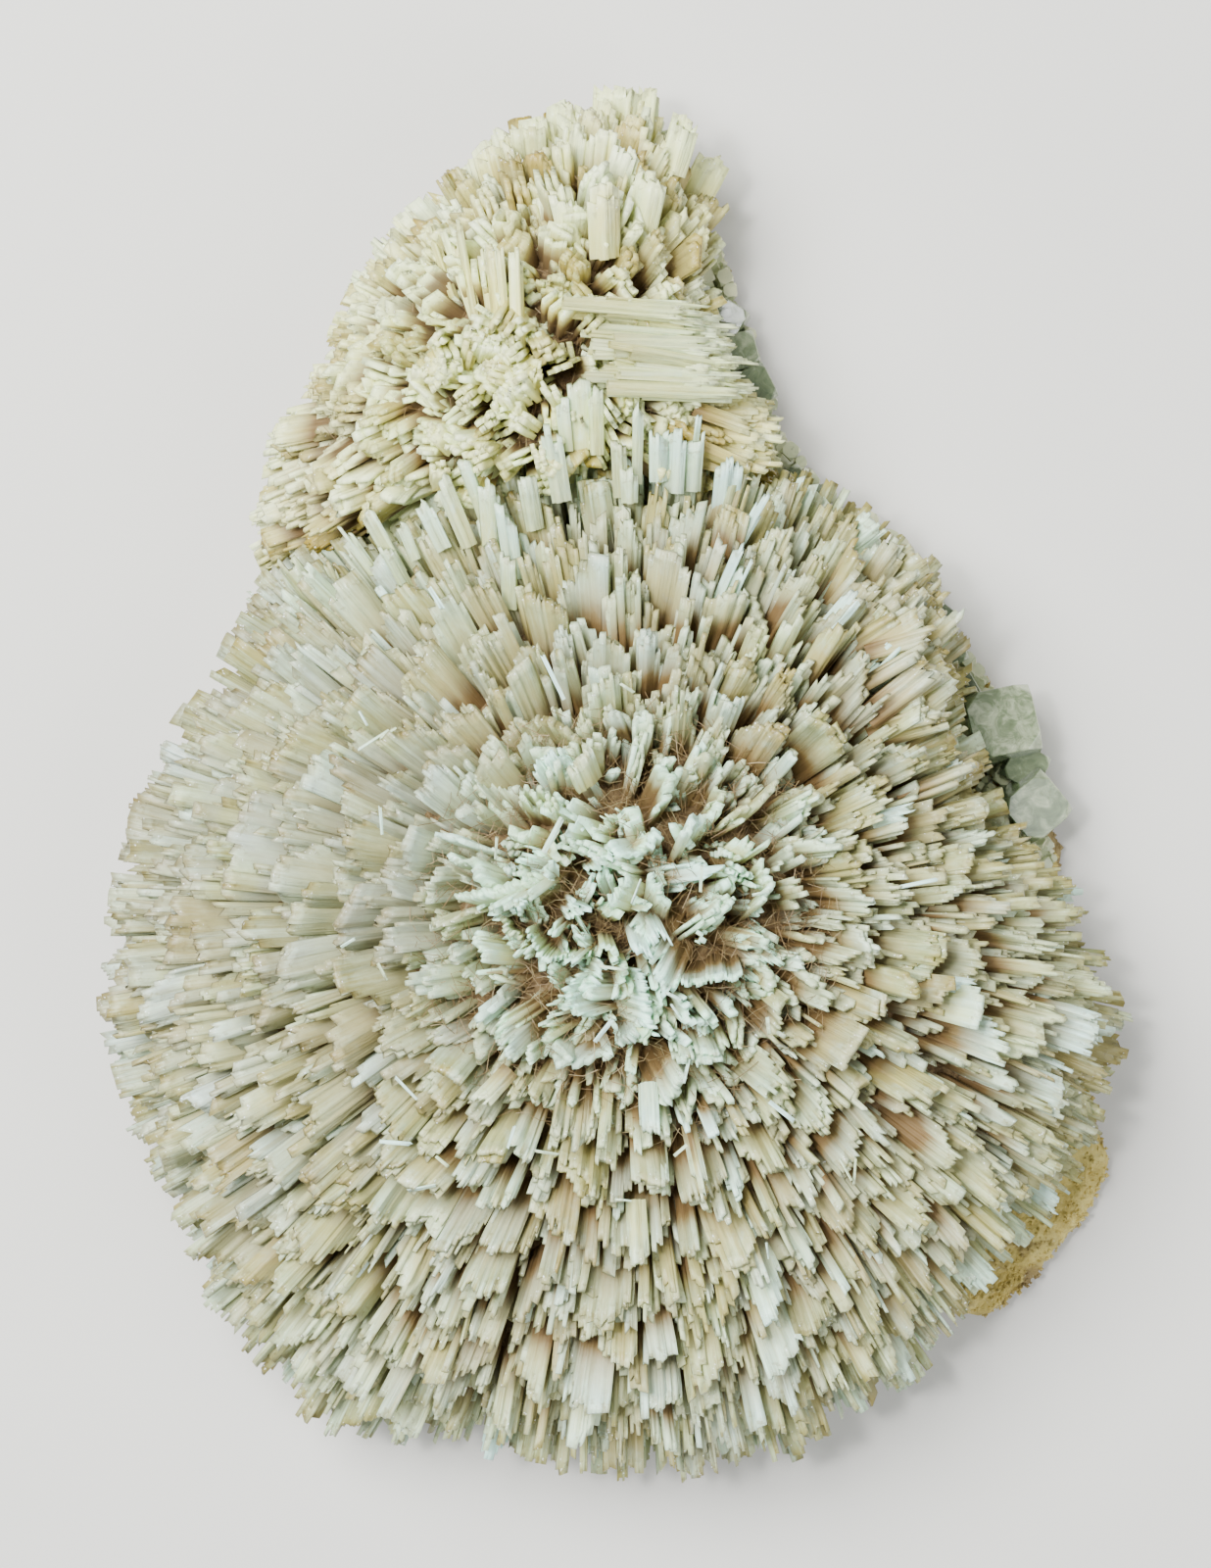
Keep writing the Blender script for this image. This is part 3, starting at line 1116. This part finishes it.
# %% Place the upper spray's own crystals
sheaf = [
    (722 + 30 * share + 9 * deal.normal(), 318 + 86 * share + 2 * deal.normal(),
     1.3 + 0.7 * deal.random(), 3 * deal.normal() - 2, -27 + 4 * deal.normal(),
     6 * deal.normal(), 13 + 5 * deal.random(), 0.5 + 2.4 * deal.random() ** 2,
     0.4 + 0.3 * deal.random(), 0.24, 1.1, 0.05 + 0.33 * deal.random(), 0.24 + 0.28 * deal.normal())
    for share in np.linspace(0.0, 1.0, 84)]
sheaf += [
    (784 + 8 * deal.normal(), 408 + 74 * share, 1.0 + 0.5 * deal.normal(),
     -6 - 10 * share + 4 * deal.normal(), 6 * deal.normal(), 16 * deal.normal(),
     7 + 5 * deal.random(), 1.4 + 1.4 * deal.random(), 0.9 + 0.6 * deal.random(), 0.5, 0.7,
     0.65 + 0.25 * deal.random(), -0.15 + 0.15 * deal.normal())
    for share in np.linspace(0.0, 1.0, 26)]
crest = [
    (641, 90, 5.0, 86, 12, 4, 8.0, 7.4, 4.6, 1.1, 0.35, 0.36, 0.12),
    (700, 122, 4.5, 74, 14, 0, 7.0, 4.0, 3.0, 0.9, 0.45, 0.30, 0.10),
    (735, 152, 4.5, 62, 16, 10, 7.0, 4.0, 3.0, 0.9, 0.45, 0.42, 0.0),
    (668, 176, 1.2, 78, 26, -8, 9.0, 3.4, 2.0, 0.9, 0.80, 0.30, 0.20),
    (616, 200, 1.2, 92, 32, 10, 8.0, 3.4, 2.0, 0.9, 0.80, 0.36, 0.20),
    (568, 190, 1.2, 104, 30, 0, 8.0, 3.0, 2.0, 0.9, 0.80, 0.35, 0.20)]
slivers = [
    (430 + 9 * step + 3 * deal.normal(), 226 + 2 * step + 6 * deal.normal(), 1.2,
     112 - 2 * step + 2 * deal.normal(), 8 + 5 * deal.random(), 30 * deal.normal(),
     10 + 3 * deal.random(), 0.8 + 0.6 * deal.random(), 0.7, 0.35, 0.6,
     0.25 + 0.25 * deal.random(), 0.05 + 0.2 * deal.normal())
    for step in range(12)]
knobs = [
    (430 + 130 * deal.random(), 336 + 140 * deal.random(), 0.4 + 0.7 * deal.random(),
     180 + 70 * deal.normal(), 55 + 25 * deal.random(), 90 * deal.random(), 6.0,
     1.8 + 1.4 * deal.random(), 1.6 + 1.2 * deal.random(), 0.7, 0.35,
     0.30 + 0.40 * deal.random(), 0.15 + 0.3 * deal.normal())
    for _ in range(42)]
place("upper_accents", upper, sheaf + crest + slivers + knobs, 44, yellow,
      "upper_spray", "scolecite_yellow")

# %% [markdown]
# ## The fibres in the clefts
#
# Down in the clefts, hair-thin broken fibres lie across each other and felt the brown feet.
# Each is a three-sided rod with one bend: three rings of three corners. They are real mesh, but
# few enough to stay light.

# %% Felt the clefts with fibres
def read_out(rows, title, kind, each=1):
    """One number, or a few, of every row of a mesh's data."""
    numbers = np.empty(len(rows) * each, kind)
    rows.foreach_get(title, numbers)
    return numbers.reshape(-1, each).squeeze()


def fill_patches(mesh, corners_each):
    """Gives each small thing of a mesh one square of the map, and fills it with every face."""
    starts = read_out(mesh.polygons, "loop_start", np.int32)
    sizes = read_out(mesh.polygons, "loop_total", np.int32)
    loops = read_out(mesh.loops, "vertex_index", np.int32)
    turn = np.arange(len(loops)) - np.repeat(starts, sizes)
    square = np.array(((0.1, 0.1), (0.9, 0.1), (0.9, 0.9), (0.1, 0.9)))
    lay_out(mesh, loops // corners_each, square[turn][:, None])


def fibres(name, dome, count, lowest, seed, finish):
    """Thin bent rods that lie every way below the skin of tips."""
    dice = np.random.default_rng(seed)
    ways = units(dice.normal(size=(count * 6, 3)))
    ways = ways[ways[:, 2] > lowest][:count]
    count = len(ways)
    deep = (5.0 + 5.0 * dice.random(count)) * MM
    centre = ways * (dome.tips(ways) - deep)[:, None] + dome.centre
    across = np.cross(ways, dice.normal(size=(count, 3)))
    axes = units(across + ways * dice.normal(size=(count, 1)) * 0.4)
    side = units(np.cross(axes, dice.normal(size=(count, 3))))
    other = np.cross(axes, side)
    length = (1.5 + 3.0 * dice.random(count)) * MM
    bend = dice.normal(size=count) * 0.12 * length
    radius = (0.025 + 0.025 * dice.random(count)) * MM
    corners = np.empty((count, 3, 3, 3))
    for ring, along in enumerate((-0.5, 0.0, 0.5)):
        middle = centre + axes * (along * length)[:, None] + side * (bend * (along == 0.0))[:, None]
        for spoke in range(3):
            turn = math.tau * spoke / 3.0
            out = side * math.cos(turn) + other * math.sin(turn)
            corners[:, ring, spoke] = middle + out * radius[:, None]
    number = np.arange(count * 9).reshape(count, 3, 3)
    faces = []
    for ring in range(2):
        for spoke in range(3):
            after = (spoke + 1) % 3
            side_of = (number[:, ring, spoke], number[:, ring, after],
                       number[:, ring + 1, after], number[:, ring + 1, spoke])
            faces.extend(np.stack(side_of, axis=1).tolist())
    faces.extend(number[:, 0, ::-1].tolist())
    faces.extend(number[:, 2].tolist())
    mesh = bpy.data.meshes.new(name)
    mesh.from_pydata(corners.reshape(-1, 3).tolist(), [], faces)
    store(mesh, "light", "POINT", np.repeat(dice.random(count), 9))
    fill_patches(mesh, 9)
    mesh.materials.append(finish)
    print(f"{name}: {count} fibres")
    return stand(name, mesh)


felt = Finish("brown_fibres", Roughness=0.6)
felt_tone = felt.ramp(felt.stored("light"), [
    (0.0, srgb(86, 68, 42)), (0.6, srgb(126, 104, 68)), (1.0, srgb(192, 178, 138))])
felted = felt.wear(Base_Color=felt.mix(felt.noise(900.0), felt_tone, srgb(116, 90, 56)))
hand_in(fibres("main_fibres", main, 4200, lowest=0.80, seed=51, finish=felted),
        "main_spray")
hand_in(fibres("upper_fibres", upper, 1400, lowest=0.45, seed=52, finish=felted),
        "upper_spray")

# %% [markdown]
# ## The rock
#
# The slab under the sprays is weathered and crumbly, ochre and tan where light reaches it, and
# browner low on its edge. Three sizes of noise mix those colours, so that no scale looks smooth.

# %% Mix the colour of the rock
rock = Finish("matrix_rock", Roughness=0.88)
lumps, crumbs = rock.noise(90.0, 4.0, 0.6), rock.noise(420.0, 5.0, 0.7)
dust = rock.noise(2200.0, 3.0, 0.6)
rock_tone = rock.ramp(lumps * 0.6 + crumbs * 0.4, [
    (0.30, srgb(136, 116, 58)), (0.46, srgb(191, 170, 92)), (0.58, srgb(212, 195, 117)),
    (0.75, srgb(228, 218, 154))])
rock_tone = rock.mix(dust.step(0.62, 0.72) * 0.4, rock_tone, srgb(128, 108, 62))
place_on_rock = rock.add("ShaderNodeTexCoord", output="Object")
level = rock.add("ShaderNodeSeparateXYZ", {}, [place_on_rock], output=2)
low = 1.0 - level.step(2.5 * MM, 5.0 * MM)
brown = (rock.noise(60.0, 5.0, 0.7, 0.6) + low * 0.12).step(0.50, 0.62)
brown_tone = rock.mix(crumbs, srgb(92, 76, 52), srgb(150, 128, 92))
rock_tone = rock.mix(brown * 0.8, rock_tone, brown_tone)
rock_tone = rock.mix((1.0 - dust).step(0.62, 0.72) * 0.5, rock_tone, srgb(222, 214, 182))
rock_finish = rock.wear(Base_Color=rock_tone,
                        Normal=rock.bump(crumbs * 0.6 + dust * 0.4, 0.9, 0.0006))
print("nodes in the rock's finish:", len(rock.nodes))

# %% [markdown]
# A copy of the solid is cut into small even faces, and its upper skin is pushed in and out by
# layers of noise while its underside stays flat. The push is held small, and is mostly inward, so
# the slab keeps the size of the solid.

# %% Roughen the rock
def skin_of(mesh):
    """The places of a mesh's corners and the directions that they face."""
    return (read_out(mesh.vertices, title, np.float32, 3).astype(float)
            for title in ("co", "normal"))


def roughened(name, node, cell, push, finish):
    """A copy of a solid with small even faces, pushed about by noise above its flat underside."""
    made = stand(name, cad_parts[node].data.copy())
    made.data.materials.clear()
    made.data.materials.append(finish)
    cut = made.modifiers.new("cut", "REMESH")
    cut.mode, cut.voxel_size = "VOXEL", cell
    evaluated = made.evaluated_get(bpy.context.evaluated_depsgraph_get())
    mesh = bpy.data.meshes.new_from_object(evaluated)
    made.modifiers.clear()
    made.data = mesh
    places, outward = skin_of(mesh)
    ridges = 0.45 - 1.9 * np.abs(wobble(places, 0.0065, 62))
    cracks = 0.45 - 1.9 * np.abs(wobble(places, 0.0026, 63))
    shift = (wobble(places, 0.011, 61) * 0.4 + ridges * 0.42 + cracks * 0.24) * push
    shift = (shift - 0.3 * push) * smooth(places[:, 2], 0.3 * MM, 1.5 * MM)
    places += outward * shift[:, None]
    mesh.vertices.foreach_set("co", places.astype(np.float32).ravel())
    for face in mesh.polygons:
        face.use_smooth = False
    mesh.update()
    print(f"{name}: {len(mesh.polygons)} faces")
    return made


matrix = roughened("matrix_rock", "matrix", cell=0.7 * MM, push=1.7 * MM, finish=rock_finish)
hand_in(matrix, "matrix")

# %% [markdown]
# The bare lobe at the lower right looks sandy, with a fuzzy outline. Loose grains do that: small
# octahedra scattered over the lobe and along its edge, half sunk into the rock. Coarser crumbs
# of the same kind break up the slab's edge all the way round.

# %% Scatter sand on the bare rock
def sand(name, places, count, size_mm, seed):
    """Grains of two sizes and all between, each on one of some places on the rock."""
    dice = np.random.default_rng(seed)
    spots = places[dice.integers(0, len(places), count)]
    spots = spots + dice.normal(size=(count, 3)) * 0.18 * MM
    size = between(size_mm, dice.random(count) ** 2) * MM
    star = np.array(((1, 0, 0), (-1, 0, 0), (0, 1, 0), (0, -1, 0), (0, 0, 1), (0, 0, -1)), float)
    shape = star * (0.6 + 0.8 * dice.random((count, 6, 1))) + dice.normal(size=(count, 1, 3)) * 0.1
    corners = spots[:, None] + shape * size[:, None, None]
    corners[..., 2] = np.maximum(corners[..., 2], 0.1 * MM)
    sides = ((0, 2, 4), (2, 1, 4), (1, 3, 4), (3, 0, 4), (2, 0, 5), (1, 2, 5), (3, 1, 5), (0, 3, 5))
    number = np.arange(count * 6).reshape(count, 6)
    faces = np.concatenate([number[:, side] for side in sides])
    mesh = bpy.data.meshes.new(name)
    mesh.from_pydata(corners.reshape(-1, 3).tolist(), [], faces.tolist())
    fill_patches(mesh, 6)
    mesh.materials.append(rock_finish)
    print(f"{name}: {count} grains")
    return stand(name, mesh)


SAND_TOP = 9.5 * MM
LOBE_NORTH, LOBE_WEST, LOBE_FROM = -14.0 * MM, 38.0 * MM, 52.0 * MM
rock_places, rock_facing = skin_of(matrix.data)
x, y, z = rock_places.T
on_lobe = (z > 0.6 * MM) & (z < SAND_TOP) & (y < LOBE_NORTH) & (x > LOBE_WEST)
on_lobe &= np.hypot(x, y) > LOBE_FROM
on_edge = (z > 0.9 * MM) & (rock_facing[:, 2] < 0.6) & ~on_lobe
for grains in (sand("rock_sand", rock_places[on_lobe], 2600, (0.16, 0.42), 71),
               sand("rock_crumbs", rock_places[on_edge], 5000, (0.20, 0.75), 72)):
    hand_in(grains, "matrix")

# %% [markdown]
# ## The apophyllite and its crust
#
# Along the right edge the rock carries pale green apophyllite: square prisms whose upper
# corners are cut off. They are convex hulls of a few corner points, with their edges bevelled.
# Faces that look to the right are paler, as the light that has crossed a crystal leaves there.

# %% Cut a crystal from its corner points
def prism(width, height, cut, sunk=0.0):
    """The corner points of an upright square prism, its upper corners cut off, its base sunk."""
    half = width / 2.0
    points = [(x, y, -sunk) for x in (-half, half) for y in (-half, half)]
    for x in (-half, half):
        for y in (-half, half):
            inward_x, inward_y = x - math.copysign(cut, x), y - math.copysign(cut, y)
            points += [(inward_x, y, height), (x, inward_y, height), (x, y, height - cut)]
    return points


def crystals_piece(name, crystals, bevel, finish):
    """One mesh of many hulls, each with its edges a little rounded."""
    whole = bmesh.new()
    tints = whole.faces.layers.float.new("light")
    for points, placed, tint in crystals:
        one = bmesh.new()
        corners = [one.verts.new(placed @ Vector(point)) for point in points]
        bmesh.ops.convex_hull(one, input=corners)
        bmesh.ops.dissolve_limit(one, angle_limit=0.02, verts=one.verts[:], edges=one.edges[:])
        if bevel:
            bmesh.ops.bevel(one, geom=one.edges[:], offset=bevel, segments=1, affect="EDGES",
                            clamp_overlap=True)
        one.normal_update()
        corners = {corner: whole.verts.new(corner.co) for corner in one.verts}
        for face in one.faces:
            made = whole.faces.new([corners[corner] for corner in face.verts])
            made[tints] = 0.15 + 0.5 * tint + 0.55 * face.normal.x + 0.2 * face.normal.y
        one.free()
    bmesh.ops.recalc_face_normals(whole, faces=whole.faces[:])
    data = bpy.data.meshes.new(name)
    whole.to_mesh(data)
    whole.free()
    data.materials.append(finish)
    print(f"{name}: {len(crystals)} crystals, {len(data.polygons)} faces")
    return stand(name, data)


print("corner points of a crystal:", len(prism(1.0, 1.0, 0.2)))

# %% [markdown]
# The crystals are clear but full of veils. The clear look is plain transmission, an index of
# refraction and an absorbing volume. Each stands where the solid of its name stands, and its base
# is sunk into the ledge.

# %% Stand the apophyllite on the ledge
ABSORBED = (0.72, 0.90, 0.66, 1.0)
REFRACTION = 1.535


def crystal_finish(name, tones, transmission):
    """Clear greenish crystal with veils and a few flaws."""
    finish = Finish(name, IOR=REFRACTION, Transmission_Weight=transmission, Specular_IOR_Level=0.6)
    veils = finish.noise(420.0, 5.0, 0.65, 1.2)
    flaws = finish.noise(1500.0, 3.0, 0.6)
    tone = finish.ramp(veils * 0.75 + finish.stored("light") * 0.4 - 0.08, tones)
    tone = finish.mix(flaws.step(0.62, 0.70) * 0.5, tone, srgb(120, 132, 108))
    inside = finish.add("ShaderNodeVolumeAbsorption", {}, {"Color": ABSORBED, "Density": 240.0})
    finish.links.new(inside.socket, finish.nodes["Material Output"].inputs["Volume"])
    return finish.wear(Base_Color=tone, Roughness=0.05 + veils * 0.15,
                       Normal=finish.bump(flaws * 0.5 + veils * 0.5, 0.20, 0.0002))


green = crystal_finish("apophyllite_green", [
    (0.25, srgb(78, 92, 68)), (0.5, srgb(132, 146, 112)), (0.75, srgb(222, 230, 196))], 0.40)
LEDGE_SEAT = 4.9 * MM
CORNER_CUT, SUNK = 0.22, 0.3
EDGE_BEVEL = 0.12 * MM
STANDS = {
    "apophyllite_right": (
        (48.3, 23.3, 8.6, 9.6, 12.0, -9.0), (52.0, 14.0, 7.0, 8.4, 40.0, 10.0),
        (51.2, 18.6, 5.0, 6.0, 61.0, 4.0), (43.0, 28.4, 4.4, 5.0, 30.0, 0.0)),
    "apophyllite_shoulder": (
        (41.2, 33.8, 4.4, 5.0, 24.0, 6.0), (40.2, 37.6, 4.0, 4.6, 52.0, -5.0)),
    "apophyllite_waist": (
        (21.2, 55.0, 4.2, 4.9, 33.0, 5.0), (24.6, 52.8, 3.6, 4.4, 8.0, -6.0)),
    "apophyllite_upper": (
        (16.2, 67.7, 5.0, 5.0, 27.0, 5.0), (13.2, 76.2, 4.2, 4.6, 58.0, -4.0),
        (14.4, 72.2, 4.8, 4.4, 14.0, 3.0))}
for node_name, stands in STANDS.items():
    crystals = []
    for x, y, width, height, turn, tip_over in stands:
        placed = (Matrix.Translation((x * MM, y * MM, LEDGE_SEAT + SUNK * height * MM))
                  @ Matrix.Rotation(math.radians(turn), 4, "Z")
                  @ Matrix.Rotation(math.radians(tip_over), 4, "X"))
        points = prism(width * MM, (1.0 - SUNK) * height * MM, width * CORNER_CUT * MM,
                       SUNK * height * MM)
        crystals.append((points, placed, deal.random()))
    piece = crystals_piece(node_name + "_crystals", crystals, EDGE_BEVEL, green)
    hand_in(piece, node_name)

# %% [markdown]
# ## The crust
#
# Between the large crystals a crust of small ones, a millimetre or two across, hides the rock.
# They are the same prisms, dropped at random along a line that follows the ledge, each a
# little way in from it. They are paler and let less light through.

# %% Grow the crust along the ledge
LEDGE_LINE = np.array((
    (55.5, 6.0), (55.0, 11.5), (53.0, 16.0), (51.8, 21.4), (51.2, 25.5), (48.0, 28.6),
    (44.2, 31.2), (42.0, 35.8), (40.2, 41.2), (36.0, 46.4), (28.6, 52.0), (22.8, 57.0),
    (19.2, 62.5), (17.8, 67.3), (15.4, 72.5), (14.2, 77.6), (12.2, 85.0), (7.0, 92.0))) * MM
crust_finish = crystal_finish("crust_green", [
    (0.2, srgb(164, 172, 132)), (0.45, srgb(200, 208, 166)), (0.7, srgb(224, 222, 180)),
    (0.9, srgb(242, 244, 226))], 0.15)


def along(line, share):
    """The place and the inward direction at a share of the way along a line."""
    steps = np.linalg.norm(np.diff(line, axis=0), axis=1)
    travelled = np.concatenate(([0.0], np.cumsum(steps)))
    at = share * travelled[-1]
    leg = min(np.searchsorted(travelled, at, "right") - 1, len(steps) - 1)
    way = (line[leg + 1] - line[leg]) / steps[leg]
    return line[leg] + way * (at - travelled[leg]), np.array((-way[1], way[0]))


CRUST_CRYSTALS, CRUST_CUT = 1100, 0.28
crust = []
for _ in range(CRUST_CRYSTALS):
    (x, y), inward = along(LEDGE_LINE, deal.random())
    back = (0.1 + 6.8 * deal.random() ** 1.3) * MM
    size = (0.7 + 1.5 * deal.random() ** 2) * MM
    x, y = x + inward[0] * back, y + inward[1] * back
    level = 4.5 * MM + back * 0.55 * deal.random()
    placed = (Matrix.Translation((x, y, level - 0.4 * size))
              @ Matrix.Rotation(deal.random() * math.tau, 4, "Z")
              @ Matrix.Rotation(deal.normal() * 0.5, 4, "X"))
    points = prism(size, size * (0.9 + 0.8 * deal.random()), size * CRUST_CUT)
    crust.append((points, placed, deal.random()))
hand_in(crystals_piece("rock_crust", crust, 0.0, crust_finish), "matrix")

# %% [markdown]
# ## Measure and finish
#
# The dressed model has to stay inside the box of the solids it dresses. Both boxes are kept.
